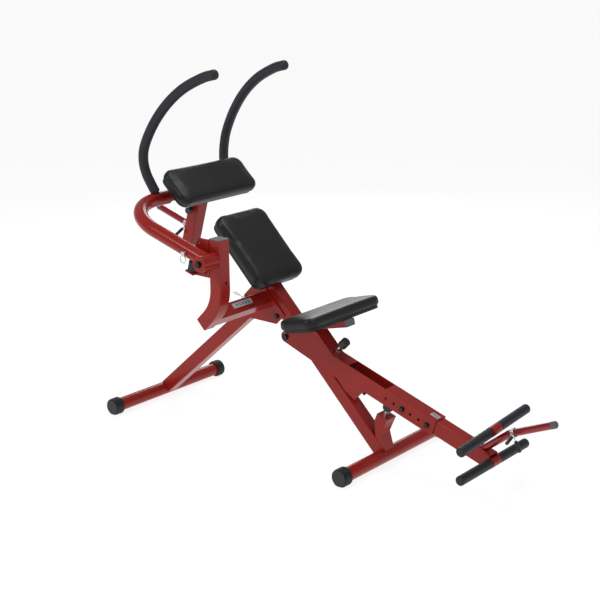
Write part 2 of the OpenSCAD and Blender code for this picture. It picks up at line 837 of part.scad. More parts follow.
// Rising link from the foot tube, bent to a flatter plate post
link_foot = [1470, 146];
link_angle = 38.7;
link_len = 141;
front_post_angle = 23.8;
module link() {
    translate([link_foot[0], 0, link_foot[1]]) rotate([0, 90 - link_angle, 0]) children();
}
module front_post() {
    translate([link_foot[0] + link_len * cos(link_angle), 0,
        link_foot[1] + link_len * sin(link_angle)])
        rotate([0, 90 - front_post_angle, 0]) children();
}
module front_plate_post() {
    placed(candy) difference() {
        union() {
            link() translate([0, 0, -10]) cylinder(d = post_d, h = link_len + 10);
            front_post() sphere(d = post_d);
            front_post() plate_post(post_len - 4);
        }
        on_lever(200, -30) translate([0, -40, 0]) cube([55, 80, 400]);
    }
}

module front_post_cap() {
    placed(grey) front_post() translate([0, 0, post_len - 4]) post_cap();
}

module front_spring_collar() {
    placed(steel) front_post() translate([0, 0, 8]) rotate([0, 0, 55]) spring_collar();
}

// ---- seat ---------------------------------------------------------------------
module seat_receptacle() {
    n_mid = (receptacle_n[0] + receptacle_n[1]) / 2;
    w = 2 * lever_plate_y - lever_plate_t;
    placed(red) difference() {
        on_spine(receptacle_t[0], n_mid)
            box_tube(receptacle_n[1] - receptacle_n[0], w, receptacle_t[1] - receptacle_t[0]);
        on_spine(seat_pin_t, n_mid) rotate([0, 90, 0]) cylinder(d = 10.1, h = 60);
    }
}

seat_pin_t = 392;
carriage_t = 25;
seat_post_w = 44;
seat_rise = 25;
lever_swing = 24;
// Where the spine comes to at the lever's top limit with the seat raised: the post is mitred there
module spine_relief() {
    translate([seat_rise * sin(spine_angle), 0, -seat_rise * cos(spine_angle)])
        translate([lever_pivot[0], 0, lever_pivot[1]]) rotate([0, lever_swing, 0]) translate([-lever_pivot[0], 0, -lever_pivot[1]])
            on_spine(-200, 0) translate([-300, -100, 0]) cube([326.2, 200, 1500]);
}
module seat_post() {
    placed(red) difference() {
        union() {
            on_spine(362, 54) box_tube(seat_post_w, seat_post_w, 190);
            on_seat(-pad_t / 2 - carriage_t) translate([-62, 0, carriage_t / 2])
                rotate([0, 90, 0]) box_tube(carriage_t, 50, 140, 2.5, 3);
        }
        on_seat(-pad_t / 2) translate([-300, -100, 0]) cube([600, 200, 300]);
        spine_relief();
        for (k = [0:1]) on_spine(seat_pin_t + 25 * k, 54) rotate([0, 90, 0])
            cylinder(d = 10.1, h = 60);
    }
}

module seat_post_plug() {
    placed(grey) on_seat(-pad_t / 2 - carriage_t / 2) translate([78, 0, 0])
        rotate([0, 90, 0]) tube_plug(carriage_t, 50, 3);
}

module seat_board() {
    placed(black) on_seat(-pad_t / 2)
        slab([seat_size[0] - 16, seat_size[1] - 16], board_t, 30);
}

module seat_pad() {
    placed(vinyl) on_seat(-pad_t / 2 + board_t) slab(seat_size, pad_t - board_t, 38);
}

seat_pin_stand = 34;
module seat_pin_barrel() {
    placed(steel) on_spine(seat_pin_t, receptacle_n[1]) rotate([0, 90, 0])
        pin_barrel(seat_pin_stand);
}

module seat_pull_pin() {
    placed(black) on_spine(seat_pin_t, receptacle_n[1]) rotate([0, 90, 0])
        pull_pin(33, 28, seat_pin_stand);
}

spine_tube();
frame_plugs();
front_stabilizer();
front_caps();
bracket_plate_near();
bracket_plate_far();
crossbar();
upright();
sector_plate();
arm_rest();
arm_bumper();
lever_rest();
lever_bumper();
lever_bumper_stud();
lever_lug();
back_board();
back_pad();
back_bolts();
arm_pivot_bolt();
leg_pivot_bolt();
rear_leg_tube();
rear_leg_lug();
rear_stabilizer();
rear_caps();
leg_lock_pin();
pivot_tube();
arm_tube();
arm_crossbar();
arm_post();
arm_post_plug();
handle_tubes();
handle_grips();
handle_sockets();
rear_plate_post();
rear_post_cap();
rear_spring_collar();
arm_lock_pin();
pad_slide_tube();
upper_board();
upper_pad();
pad_pin_barrel();
pad_pull_pin();
lever_plate_near();
lever_plate_far();
lever_top_plates();
lever_bottom_plate();
foot_tube();
lever_bolts();
foot_axles();
foot_rollers();
front_plate_post();
front_post_cap();
front_spring_collar();
seat_receptacle();
seat_post();
seat_post_plug();
seat_board();
seat_pad();
seat_pin_barrel();
seat_pull_pin();
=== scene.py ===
"""Finishes, pads, foam, spring collars, labels, light and camera for the roman chair."""

import logging
import math
from dataclasses import dataclass, field
from enum import Enum
from typing import Sequence, Union

import bmesh
import bpy
from mathutils import Matrix, Vector


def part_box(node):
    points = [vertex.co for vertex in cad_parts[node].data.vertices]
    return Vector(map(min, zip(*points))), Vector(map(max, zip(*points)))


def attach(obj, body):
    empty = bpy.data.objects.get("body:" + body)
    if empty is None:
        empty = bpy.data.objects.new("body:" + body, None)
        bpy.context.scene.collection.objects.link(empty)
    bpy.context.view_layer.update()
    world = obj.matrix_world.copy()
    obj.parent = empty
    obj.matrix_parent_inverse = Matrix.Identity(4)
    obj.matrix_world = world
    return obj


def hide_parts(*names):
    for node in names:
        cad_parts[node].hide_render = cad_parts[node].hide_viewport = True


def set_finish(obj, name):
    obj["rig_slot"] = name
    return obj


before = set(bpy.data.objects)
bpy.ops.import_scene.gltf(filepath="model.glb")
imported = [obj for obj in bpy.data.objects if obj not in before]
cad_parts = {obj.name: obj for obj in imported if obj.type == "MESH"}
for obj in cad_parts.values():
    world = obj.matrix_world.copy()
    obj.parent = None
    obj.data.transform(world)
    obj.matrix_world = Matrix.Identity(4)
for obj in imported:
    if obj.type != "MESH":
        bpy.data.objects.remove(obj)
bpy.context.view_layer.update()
LOG = logging.getLogger("roman_chair")
MM = 0.001
# The CAD source's own point that packing moved to the origin
MACHINE_MIDDLE = (858.5, -46.2, 0.0)
LEVER_SLOPE = 17.3

Rgb = tuple[float, float, float]
Operand = Union["Term", float]


class Slot(str, Enum):
    """The record's material slots."""

    RED = "red_paint"
    CANDY = "candy_paint"
    BLACK_PAINT = "black_paint"
    VINYL = "vinyl"
    FOAM = "foam"
    RUBBER = "black_rubber"
    GREY_PLASTIC = "grey_plastic"
    BLACK_STEEL = "black_steel"
    BLACK_PLASTIC = "black_plastic"
    BRIGHT_STEEL = "bright_steel"


# ---- places -----------------------------------------------------------------
def move(x: float, y: float, z: float) -> Matrix:
    """A shift in millimetres."""
    return Matrix.Translation(Vector((x, y, z)) * MM)


def turn(degrees: float, axis: str) -> Matrix:
    """A right-handed turn about X, Y or Z."""
    return Matrix.Rotation(math.radians(degrees), 4, axis)


def machine(*steps: Matrix) -> Matrix:
    """The place that a chain of moves and turns reaches from the CAD source's own origin.

    Args:
        steps: moves and turns, outermost first.

    Returns:
        The matrix from the piece's own axes to the row frame.
    """
    place = move(*(-c for c in MACHINE_MIDDLE))
    for step in steps:
        place = place @ step
    return place


def middle(node: str) -> Vector:
    """The middle of a CAD node's box."""
    low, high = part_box(node)
    return (low + high) / 2


# ---- shader arithmetic --------------------------------------------------------
class Term:
    """A node's output that takes part in arithmetic; each operator adds a Math node."""

    def __init__(self, recipe: "Recipe", socket: bpy.types.NodeSocket) -> None:
        """Wraps one output socket."""
        self.recipe, self.socket = recipe, socket

    def _math(self, operation: str, a: Operand, b: Operand = 0.0) -> "Term":
        """One Math node on two values."""
        return self.recipe.node("ShaderNodeMath", {"operation": operation}, {0: a, 1: b})

    def __add__(self, other: Operand) -> "Term":
        """self + other."""
        return self._math("ADD", self, other)

    __radd__ = __add__

    def __sub__(self, other: Operand) -> "Term":
        """self - other."""
        return self._math("SUBTRACT", self, other)

    def __rsub__(self, other: Operand) -> "Term":
        """other - self."""
        return self._math("SUBTRACT", other, self)

    def __mul__(self, other: Operand) -> "Term":
        """self * other."""
        return self._math("MULTIPLY", self, other)

    __rmul__ = __mul__

    def __gt__(self, other: Operand) -> "Term":
        """1 where self is above other."""
        return self._math("GREATER_THAN", self, other)

    def __lt__(self, other: Operand) -> "Term":
        """1 where self is below other."""
        return self._math("LESS_THAN", self, other)

    def __mod__(self, other: Operand) -> "Term":
        """What is left of self after whole others, never negative."""
        return self._math("FLOORED_MODULO", self, other)

    def __abs__(self) -> "Term":
        """self without its sign."""
        return self._math("ABSOLUTE", self)


class Recipe:
    """One material while its nodes are put together."""

    def __init__(self, name: str) -> None:
        """Starts a material with a Principled shader.

        Args:
            name: the material's name.
        """
        self.material = bpy.data.materials.new(name)
        self.material.use_nodes = True
        self.tree = self.material.node_tree
        self.tree.nodes.clear()
        self.shader = self.tree.nodes.new("ShaderNodeBsdfPrincipled")
        out = self.tree.nodes.new("ShaderNodeOutputMaterial")
        self.tree.links.new(self.shader.outputs[0], out.inputs["Surface"])

    def node(self, kind: str, settings: dict | None = None, inputs: dict | None = None,
             output: int | str = 0) -> Term:
        """Adds a node.

        Args:
            kind: the node's type.
            settings: its properties; "stops" is a colour ramp's list of (place, colour).
            inputs: values or Terms by socket name or number.
            output: which output to return.

        Returns:
            That output as a Term.
        """
        made = self.tree.nodes.new(kind)
        for key, value in (settings or {}).items():
            if key == "stops":
                ramp = made.color_ramp
                while len(ramp.elements) < len(value):
                    ramp.elements.new(0.5)
                for element, (place, colour) in zip(ramp.elements, value):
                    element.position, element.color = place, (*colour, 1.0)
            else:
                setattr(made, key, value)
        for key, value in (inputs or {}).items():
            self.feed(made.inputs[key], value)
        return Term(self, made.outputs[output])

    def feed(self, socket: bpy.types.NodeSocket, value: object) -> None:
        """Links a Term to a socket, or sets the socket's own value.

        Args:
            socket: the input to feed.
            value: a Term, a colour of three numbers, or a plain value.
        """
        if isinstance(value, Term):
            self.tree.links.new(value.socket, socket)
        elif isinstance(value, tuple) and len(value) == 3 and socket.type == "RGBA":
            socket.default_value = (*value, 1.0)
        else:
            socket.default_value = value

    def surface(self, **values: object) -> None:
        """Feeds the shader's sockets, named with underscores for spaces."""
        for key, value in values.items():
            self.feed(self.shader.inputs[key.replace("_", " ")], value)

    def place(self, shift: Vector = Vector(), angles: Vector = Vector()) -> Term:
        """Object coordinates, shifted and turned onto a piece.

        Args:
            shift: the piece's place, metres.
            angles: the piece's turn, radians.

        Returns:
            The coordinates as a Term.
        """
        own = self.node("ShaderNodeTexCoord", output="Object")
        if not shift.length and not angles.length:
            return own
        return self.node("ShaderNodeMapping", {"vector_type": "TEXTURE"},
                         {"Vector": own, "Location": shift, "Rotation": angles})

    def noise(self, scale: float, detail: float = 2.0, roughness: float = 0.5) -> Term:
        """Soft noise from 0 to 1, scale in lumps per metre."""
        return self.node("ShaderNodeTexNoise", {}, {
            "Vector": self.place(), "Scale": scale, "Detail": detail, "Roughness": roughness})

    def cells(self, scale: float, feature: str = "DISTANCE_TO_EDGE") -> Term:
        """Distance within small cells, scale in cells per metre."""
        return self.node("ShaderNodeTexVoronoi", {"feature": feature},
                         {"Vector": self.place(), "Scale": scale}, "Distance")

    def mix(self, share: Operand, a: object, b: object) -> Term:
        """Colour a where share is 0, b where it is 1."""
        return self.node("ShaderNodeMix", {"data_type": "RGBA"}, {0: share, 6: a, 7: b}, 2)

    def stretch(self, value: Term, low: float, high: float) -> Term:
        """Maps low to high of a value onto 0 to 1, held at both ends."""
        return self.node("ShaderNodeMapRange", {"clamp": True}, {
            "Value": value, "From Min": low, "From Max": high, "To Min": 0.0, "To Max": 1.0})

    def bump(self, height: Term, depth: float, strength: float = 1.0,
             under: Term | None = None) -> Term:
        """A relief, on top of another one if there is one.

        Args:
            height: the relief's pattern, 0 to 1.
            depth: its depth in millimetres.
            strength: how much of it shows.
            under: the relief below it.

        Returns:
            The bent normal.
        """
        inputs: dict = {"Height": height, "Distance": depth * MM, "Strength": strength}
        if under is not None:
            inputs["Normal"] = under
        return self.node("ShaderNodeBump", {}, inputs)


# ---- finishes -------------------------------------------------------------------
def shade(colour: Rgb, factor: float) -> Rgb:
    """A colour made lighter or darker."""
    return tuple(min(1.0, c * factor) for c in colour)


@dataclass(frozen=True)
class Finish:
    """What every finish has: a name and a main colour, linear."""

    name: str
    colour: Rgb

    def cook(self, recipe: Recipe) -> None:
        """Feeds the recipe's shader; each finish has its own way."""
        raise NotImplementedError

    def material(self) -> bpy.types.Material:
        """Makes the finish's material on first use.

        Returns:
            The one material of this finish.
        """
        known = bpy.data.materials.get(self.name)
        if known is None:
            recipe = Recipe(self.name)
            self.cook(recipe)
            known = recipe.material
        return known


@dataclass(frozen=True)
class PowderCoat(Finish):
    """Baked powder coat: faint orange peel, slight clouding, fine dust in the gloss."""

    gloss: float = 0.30
    clear: float = 0.12
    specular: float = 0.20
    metallic: float = 0.0
    peel: float = 0.05

    def cook(self, recipe: Recipe) -> None:
        """Clouds the colour, breaks up the gloss and ripples the surface.

        Args:
            recipe: the material being put together.
        """
        clouds = recipe.noise(9.0, 3.0)
        flecks = recipe.stretch(recipe.noise(1400.0, 1.0), 0.60, 0.72)
        base = recipe.mix(clouds, shade(self.colour, 0.86), shade(self.colour, 1.14))
        peel = recipe.noise(330.0, 1.5)
        recipe.surface(
            Base_Color=recipe.mix(flecks * 0.25, base, shade(self.colour, 1.5)),
            Roughness=clouds * 0.10 + (self.gloss - 0.05) + flecks * 0.05,
            Metallic=self.metallic, Specular_IOR_Level=self.specular,
            Coat_Weight=self.clear, Coat_Roughness=0.12,
            Normal=recipe.bump(peel, self.peel))


@dataclass(frozen=True)
class Vinyl(Finish):
    """Upholstery vinyl: pebbled grain, soft creases, rubbed sheen."""

    grain: float = 520.0

    def cook(self, recipe: Recipe) -> None:
        """Builds the grain from two sizes of pebble over slow creases.

        Args:
            recipe: the material being put together.
        """
        fine = recipe.stretch(recipe.cells(self.grain), 0.0, 0.30)
        coarse = recipe.stretch(recipe.cells(self.grain * 0.45), 0.0, 0.22)
        creases = recipe.noise(26.0, 3.0, 0.55)
        rubbed = recipe.noise(7.0, 2.0)
        slow = recipe.bump(creases, 1.3, 0.35)
        pebble = recipe.bump(coarse * 0.45 + fine * 0.55, 0.10, 0.55, slow)
        recipe.surface(
            Base_Color=recipe.mix(rubbed, shade(self.colour, 0.8), shade(self.colour, 1.35)),
            Roughness=rubbed * 0.10 + 0.36 + fine * -0.05,
            Specular_IOR_Level=0.30, Normal=pebble)


@dataclass(frozen=True)
class Foam(Finish):
    """Closed-cell foam with a fine open skin."""

    def cook(self, recipe: Recipe) -> None:
        """Gives it two sizes of pore, a mottled colour and little gloss.

        Args:
            recipe: the material being put together.
        """
        pores = recipe.stretch(recipe.cells(900.0, "F1"), 0.1, 0.75)
        lumps = recipe.noise(150.0, 3.0)
        mottle = recipe.noise(45.0, 4.0, 0.6)
        low = recipe.bump(lumps, 0.45, 0.6)
        recipe.surface(
            Base_Color=recipe.mix(mottle * 0.6 + pores * 0.4,
                                  shade(self.colour, 0.65), shade(self.colour, 1.5)),
            Roughness=mottle * 0.12 + 0.46, Specular_IOR_Level=0.35,
            Normal=recipe.bump(pores, 0.18, 0.55, low))


@dataclass(frozen=True)
class Moulded(Finish):
    """Moulded rubber or plastic."""

    gloss: float = 0.5
    texture: float = 0.06

    def cook(self, recipe: Recipe) -> None:
        """Gives it a fine spark-eroded texture with handling marks in the gloss.

        Args:
            recipe: the material being put together.
        """
        grain = recipe.noise(1100.0, 2.0)
        marks = recipe.noise(30.0, 4.0, 0.6)
        recipe.surface(
            Base_Color=recipe.mix(marks, shade(self.colour, 0.82), shade(self.colour, 1.25)),
            Roughness=marks * 0.16 + (self.gloss - 0.08),
            Normal=recipe.bump(grain, self.texture, 0.6))


@dataclass(frozen=True)
class Plated(Finish):
    """Plated or blackened steel with faint drawing lines."""

    gloss: float = 0.22
    metallic: float = 1.0

    def cook(self, recipe: Recipe) -> None:
        """Mottles the plating and its gloss.

        Args:
            recipe: the material being put together.
        """
        cloud = recipe.noise(70.0, 4.0, 0.6)
        lines = recipe.noise(900.0, 1.0)
        recipe.surface(
            Base_Color=recipe.mix(cloud, shade(self.colour, 0.82), shade(self.colour, 1.1)),
            Roughness=cloud * 0.14 + (self.gloss - 0.07), Metallic=self.metallic,
            Normal=recipe.bump(lines, 0.02, 0.4))


@dataclass(frozen=True)
class StripedLabel(Finish):
    """A pale label with plain slanted bars and no lettering."""

    place: Matrix = field(default_factory=Matrix)
    half: tuple[float, float] = (0.05, 0.014)
    bar: Rgb = (0.05, 0.05, 0.06)
    pitch: float = 0.3
    thick: float = 0.13
    lean: float = 0.6
    reach: float = 0.8
    rise: float = 0.45

    def cook(self, recipe: Recipe) -> None:
        """Draws a row of slanted bars inside a clear margin.

        Args:
            recipe: the material being put together.
        """
        spot = recipe.place(self.place.to_translation(), Vector(self.place.to_euler()))
        split = "ShaderNodeSeparateXYZ"
        along = recipe.node(split, {}, {0: spot}, "X")
        up = recipe.node(split, {}, {0: spot}, "Y")
        half_length, half_height = self.half
        slant = (along + up * self.lean) % (half_length * self.pitch)
        bars = (slant < half_length * self.thick) * (abs(up) < half_height * self.rise)
        bars = bars * (abs(along) < half_length * self.reach)
        dirt = recipe.noise(60.0, 3.0)
        recipe.surface(
            Base_Color=recipe.mix(bars, recipe.mix(dirt, shade(self.colour, 0.9), self.colour),
                                  self.bar),
            Roughness=dirt * 0.1 + 0.28, Coat_Weight=0.4, Coat_Roughness=0.1)


@dataclass(frozen=True)
class FloorPaint(Finish):
    """Plain pale studio floor, lit from within."""

    glow: float = 0.86

    def cook(self, recipe: Recipe) -> None:
        """Gives it a flat matt colour with the faintest clouding.

        Args:
            recipe: the material being put together.
        """
        cloud = recipe.noise(0.6, 2.0)
        recipe.surface(Base_Color=recipe.mix(cloud, shade(self.colour, 0.99), self.colour),
                       Roughness=0.85, Specular_IOR_Level=0.15,
                       Emission_Color=(1.0, 1.0, 1.0), Emission_Strength=self.glow)


FINISHES: dict[Slot, Finish] = {
    Slot.RED: PowderCoat("red_powder_coat", (0.275, 0.0130, 0.0090), gloss=0.24),
    Slot.CANDY: PowderCoat("candy_red", (0.26, 0.010, 0.016), gloss=0.26, clear=0.8,
                           metallic=0.65, peel=0.02),
    Slot.BLACK_PAINT: PowderCoat("black_powder_coat", (0.012, 0.012, 0.013), gloss=0.36),
    Slot.VINYL: Vinyl("black_vinyl", (0.0085, 0.0080, 0.0088)),
    Slot.FOAM: Foam("charcoal_foam", (0.0115, 0.0130, 0.0190)),
    Slot.RUBBER: Moulded("black_rubber_moulding", (0.009, 0.009, 0.011), gloss=0.50),
    Slot.GREY_PLASTIC: Moulded("grey_plastic_moulding", (0.085, 0.080, 0.078), gloss=0.48),
    Slot.BLACK_STEEL: Plated("blackened_steel", (0.045, 0.045, 0.048), gloss=0.38),
    Slot.BLACK_PLASTIC: Moulded("black_plastic_moulding", (0.012, 0.012, 0.014), gloss=0.34,
                                texture=0.03),
    Slot.BRIGHT_STEEL: Plated("bright_zinc", (0.62, 0.62, 0.63), gloss=0.22),
}

# Every CAD node that isn't red paint, by the slot that it takes
NODE_SLOTS: dict[Slot, tuple[str, ...]] = {
    Slot.CANDY: ("rear_plate_post", "front_plate_post"),
    Slot.BLACK_PAINT: ("handle_tubes", "pad_slide_tube", "back_board", "upper_board",
                       "seat_board"),
    Slot.VINYL: ("back_pad", "upper_pad", "seat_pad"),
    Slot.FOAM: ("handle_grips", "foot_rollers"),
    Slot.RUBBER: ("front_caps", "rear_caps", "arm_bumper", "lever_bumper"),
    Slot.GREY_PLASTIC: ("frame_plugs", "arm_post_plug", "seat_post_plug", "rear_post_cap",
                        "front_post_cap"),
    Slot.BLACK_STEEL: ("back_bolts", "arm_pivot_bolt", "leg_pivot_bolt", "lever_bolts"),
    Slot.BLACK_PLASTIC: ("pad_pull_pin", "seat_pull_pin"),
    Slot.BRIGHT_STEEL: ("leg_lock_pin", "arm_lock_pin", "rear_spring_collar",
                        "front_spring_collar", "pad_pin_barrel", "seat_pin_barrel",
                        "lever_bumper_stud"),
}


def dress_frame() -> None:
    """Gives each CAD node the finish of its slot."""
    slots = {name: slot for slot, names in NODE_SLOTS.items() for name in names}
    for name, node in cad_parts.items():
        slot = slots.get(name, Slot.RED)
        node.data.materials.clear()
        node.data.materials.append(FINISHES[slot].material())
        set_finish(node, slot.value)


# ---- workbench --------------------------------------------------------------------
def deselect() -> None:
    """Leaves nothing selected, in object mode."""
    if bpy.context.object and bpy.context.object.mode != "OBJECT":
        bpy.ops.object.mode_set(mode="OBJECT")
    bpy.ops.object.select_all(action="DESELECT")


def pick(piece: bpy.types.Object) -> None:
    """Makes one piece the only selected and the active one.

    Args:
        piece: the object to pick.
    """
    deselect()
    piece.select_set(True)
    bpy.context.view_layer.objects.active = piece


def from_mesh(name: str, build: bmesh.types.BMesh) -> bpy.types.Object:
    """Turns mesh code's result into an object, faces outwards.

    Args:
        name: the object's name.
        build: the mesh under construction, used up here.

    Returns:
        The new object.
    """
    bmesh.ops.recalc_face_normals(build, faces=build.faces)
    mesh = bpy.data.meshes.new(name)
    build.to_mesh(mesh)
    build.free()
    piece = bpy.data.objects.new(name, mesh)
    bpy.context.scene.collection.objects.link(piece)
    return piece


def settle(piece: bpy.types.Object, place: Matrix, slot: Slot, body: str,
           smooth: float = 40.0) -> bpy.types.Object:
    """Puts a finished mesh in its place, dresses it and lets it ride.

    Args:
        piece: the object, modelled about its own origin.
        place: from the piece's own axes to the row frame.
        slot: the finish it takes.
        body: the CAD body that it moves with.
        smooth: edges flatter than this many degrees are shaded smooth.

    Returns:
        The piece, its object at the origin and its place in its mesh.
    """
    piece.data.transform(place @ piece.matrix_basis)
    piece.matrix_basis = Matrix.Identity(4)
    piece.data.materials.clear()
    piece.data.materials.append(FINISHES[slot].material())
    pick(piece)
    bpy.ops.object.shade_smooth_by_angle(angle=math.radians(smooth))
    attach(piece, body)
    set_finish(piece, slot.value)
    return piece


def apply_modifier(piece: bpy.types.Object, kind: str, **settings: object) -> None:
    """Adds a modifier with its settings and applies it.

    Args:
        piece: the object to change.
        kind: the modifier's type.
        settings: its properties.
    """
    modifier = piece.modifiers.new(kind.lower(), kind)
    for key, value in settings.items():
        setattr(modifier, key, value)
    pick(piece)
    bpy.ops.object.modifier_apply(modifier=modifier.name)


def turned(name: str, profile: Sequence[tuple[float, float]],
           sides: int = 32) -> bpy.types.Object:
    """A turned solid about Z, extruded ring by ring.

    Args:
        name: the piece's name.
        profile: (radius, height) of each ring in millimetres, lowest first.
        sides: corners of each ring.

    Returns:
        The closed solid.
    """
    deselect()
    radius, height = profile[0]
    bpy.ops.mesh.primitive_circle_add(vertices=sides, radius=radius * MM, fill_type="NGON",
                                      location=(0, 0, height * MM), enter_editmode=True)
    piece = bpy.context.object
    piece.name = name
    bpy.ops.mesh.select_all(action="SELECT")
    for next_radius, next_height in profile[1:]:
        bpy.ops.mesh.extrude_region_move(
            TRANSFORM_OT_translate={"value": (0, 0, (next_height - height) * MM)})
        share = next_radius / radius
        bpy.ops.transform.resize(value=(share, share, 1))
        radius, height = next_radius, next_height
    bpy.ops.mesh.select_all(action="SELECT")
    bpy.ops.mesh.normals_make_consistent(inside=False)
    bpy.ops.object.mode_set(mode="OBJECT")
    piece.data.transform(piece.matrix_basis)
    piece.matrix_basis = Matrix.Identity(4)
    return piece


def joined(pieces: Sequence[bpy.types.Object], name: str) -> bpy.types.Object:
    """Joins pieces into the first one, under one name.

    Args:
        pieces: the objects to join.
        name: what the result is called.

    Returns:
        The joined object.
    """
    pick(pieces[0])
    for piece in pieces[1:]:
        piece.select_set(True)
    bpy.ops.object.join()
    pieces[0].name = name
    return pieces[0]


# ---- soft pieces: mesh code ----------------------------------------------------------
NEARLY_ALONG = 0.99  # past this the sideways direction is picked afresh
QUARTER_TURN = tuple(math.radians(a) for a in (0, 18, 36, 54, 72, 90))


def swept(name: str, route: Sequence[Vector], radii: Sequence[float],
          sides: int = 28) -> bpy.types.Object:
    """A closed tube of changing radius along a route.

    Args:
        name: the piece's name.
        route: points of the centreline, metres.
        radii: the radius at each point, metres.
        sides: corners of each ring.

    Returns:
        The closed tube.
    """
    build = bmesh.new()
    rings, side = [], Vector((0, 1, 0))
    for i, (point, radius) in enumerate(zip(route, radii)):
        ahead = route[min(i + 1, len(route) - 1)] - route[max(i - 1, 0)]
        ahead.normalize()
        if abs(side.dot(ahead)) < NEARLY_ALONG:
            side = (side - ahead * side.dot(ahead)).normalized()
        else:
            side = ahead.orthogonal().normalized()
        other = ahead.cross(side)
        ring = []
        for k in range(sides):
            angle = 2 * math.pi * k / sides
            out = math.cos(angle) * side + math.sin(angle) * other
            ring.append(build.verts.new(point + radius * out))
        rings.append(ring)
    for low, high in zip(rings, rings[1:]):
        for k in range(sides):
            n = (k + 1) % sides
            build.faces.new((low[k], low[n], high[n], high[k]))
    for ring, point in ((rings[0], route[0]), (rings[-1], route[-1])):
        hub = build.verts.new(point)
        for k in range(sides):
            build.faces.new((ring[k], ring[(k + 1) % sides], hub))
    return from_mesh(name, build)


def smooth_route(points: Sequence[Vector], steps: int) -> list[Vector]:
    """A Catmull-Rom curve through given points, as the CAD source draws it.

    Args:
        points: the points that it passes through.
        steps: parts between one point and the next.

    Returns:
        All points of the curve.
    """
    last = len(points) - 1
    route = []
    for i in range(last):
        a, b = points[max(i - 1, 0)], points[i]
        c, d = points[i + 1], points[min(i + 2, last)]
        for k in range(steps):
            f = k / steps
            route.append(0.5 * (2 * b + (c - a) * f + (2 * a - 5 * b + 4 * c - d) * f * f
                                + (3 * b - a - 3 * c + d) * f ** 3))
    return route + [points[last].copy()]


def spaced(route: Sequence[Vector], marks: Sequence[float]) -> list[Vector]:
    """Points at given distances along a route.

    Args:
        route: points of the centreline.
        marks: the distances from its start, rising.

    Returns:
        One point for each mark.
    """
    lengths = [0.0]
    for a, b in zip(route, route[1:]):
        lengths.append(lengths[-1] + (b - a).length)
    found, i = [], 0
    for mark in marks:
        while i < len(route) - 2 and lengths[i + 1] < mark:
            i += 1
        share = (mark - lengths[i]) / (lengths[i + 1] - lengths[i])
        found.append(route[i].lerp(route[i + 1], share))
    return found


@dataclass
class FoamTube:
    """Foam sleeve with rounded ends, from a soft lower lip to a closed dome."""

    name: str
    body: str
    node: str
    radius: float
    lip: float = 3.0
    dome: float = 10.0
    blunt: float = 0.35
    pitch: float = 6.0
    fill: float = 0.9

    def build(self, route: Sequence[Vector]) -> bpy.types.Object:
        """Sweeps the foam along a route in the row frame.

        Args:
            route: the centreline, lower end first.

        Returns:
            The foam piece, riding on its body.
        """
        total = sum((b - a).length for a, b in zip(route, route[1:])) / MM
        start = [(self.lip * (1 - math.cos(a)), self.radius - self.lip * (1 - math.sin(a)))
                 for a in QUARTER_TURN]
        end = [(total - self.dome * (1 - math.sin(a)),
                self.radius * (self.blunt + (1 - self.blunt) * math.cos(a)))
               for a in QUARTER_TURN]
        steps = max(2, round((total - self.lip - self.dome) / self.pitch))
        between = [(self.lip + (total - self.dome - self.lip) * k / steps, self.radius)
                   for k in range(1, steps)]
        marks = start + between + end
        piece = swept(self.name, spaced(route, [m * MM for m, _ in marks]),
                      [r * MM for _, r in marks])
        settle(piece, Matrix.Identity(4), Slot.FOAM, self.body, 60.0)
        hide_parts(self.node)
        return piece


@dataclass
class Handles:
    """The pair of bent handles' foam grips."""

    radius: float = 18.0
    route: tuple[tuple[float, float, float], ...] = (
        (183, 187, 868), (164, 194, 905), (150, 203, 945), (147, 211, 993),
        (160, 213, 1048), (205, 208, 1128), (269, 200, 1203), (345, 192, 1262),
        (430, 184, 1303), (480, 181, 1317))
    tip: float = 17.0
    steps: int = 8

    def build(self) -> None:
        """Covers each handle from above its socket to beyond its end."""
        for word, side in (("near", -1), ("far", 1)):
            points = [machine() @ (Vector((x, side * y, z)) * MM) for x, y, z in self.route]
            curve = smooth_route(points, self.steps)[self.steps // 4:]
            ahead = (curve[-1] - curve[-2]).normalized()
            curve.append(curve[-1] + ahead * self.tip * MM)
            FoamTube(f"handle_grip_{word}", "crunch_arm", "handle_grips",
                     self.radius).build(curve)


@dataclass
class FootRollers:
    """The four foam sleeves of the two foot rollers."""

    radius: float = 16.5
    inner: float = 26.0
    outer: float = 200.0
    lower: tuple[float, float] = (1523.2, 122.0)
    upper: tuple[float, float] = (1522.0, 232.0)
    upper_tilt: float = 4.0
    parts: int = 20

    def build(self) -> None:
        """Sweeps each sleeve outwards from the collar."""
        levels = (("lower", self.lower, 0.0), ("upper", self.upper, self.upper_tilt))
        for level, (x, z), tilt in levels:
            place = machine(move(x, 0, z), turn(tilt, "X"))
            for word, side in (("near", -1), ("far", 1)):
                start, end = (place @ (Vector((0, side * y, 0)) * MM)
                              for y in (self.inner, self.outer))
                route = [start.lerp(end, k / self.parts) for k in range(self.parts + 1)]
                FoamTube(f"foot_roller_{level}_{word}", "foot_lever", "foot_rollers",
                         self.radius, lip=2.5, dome=4.0, blunt=0.72).build(route)


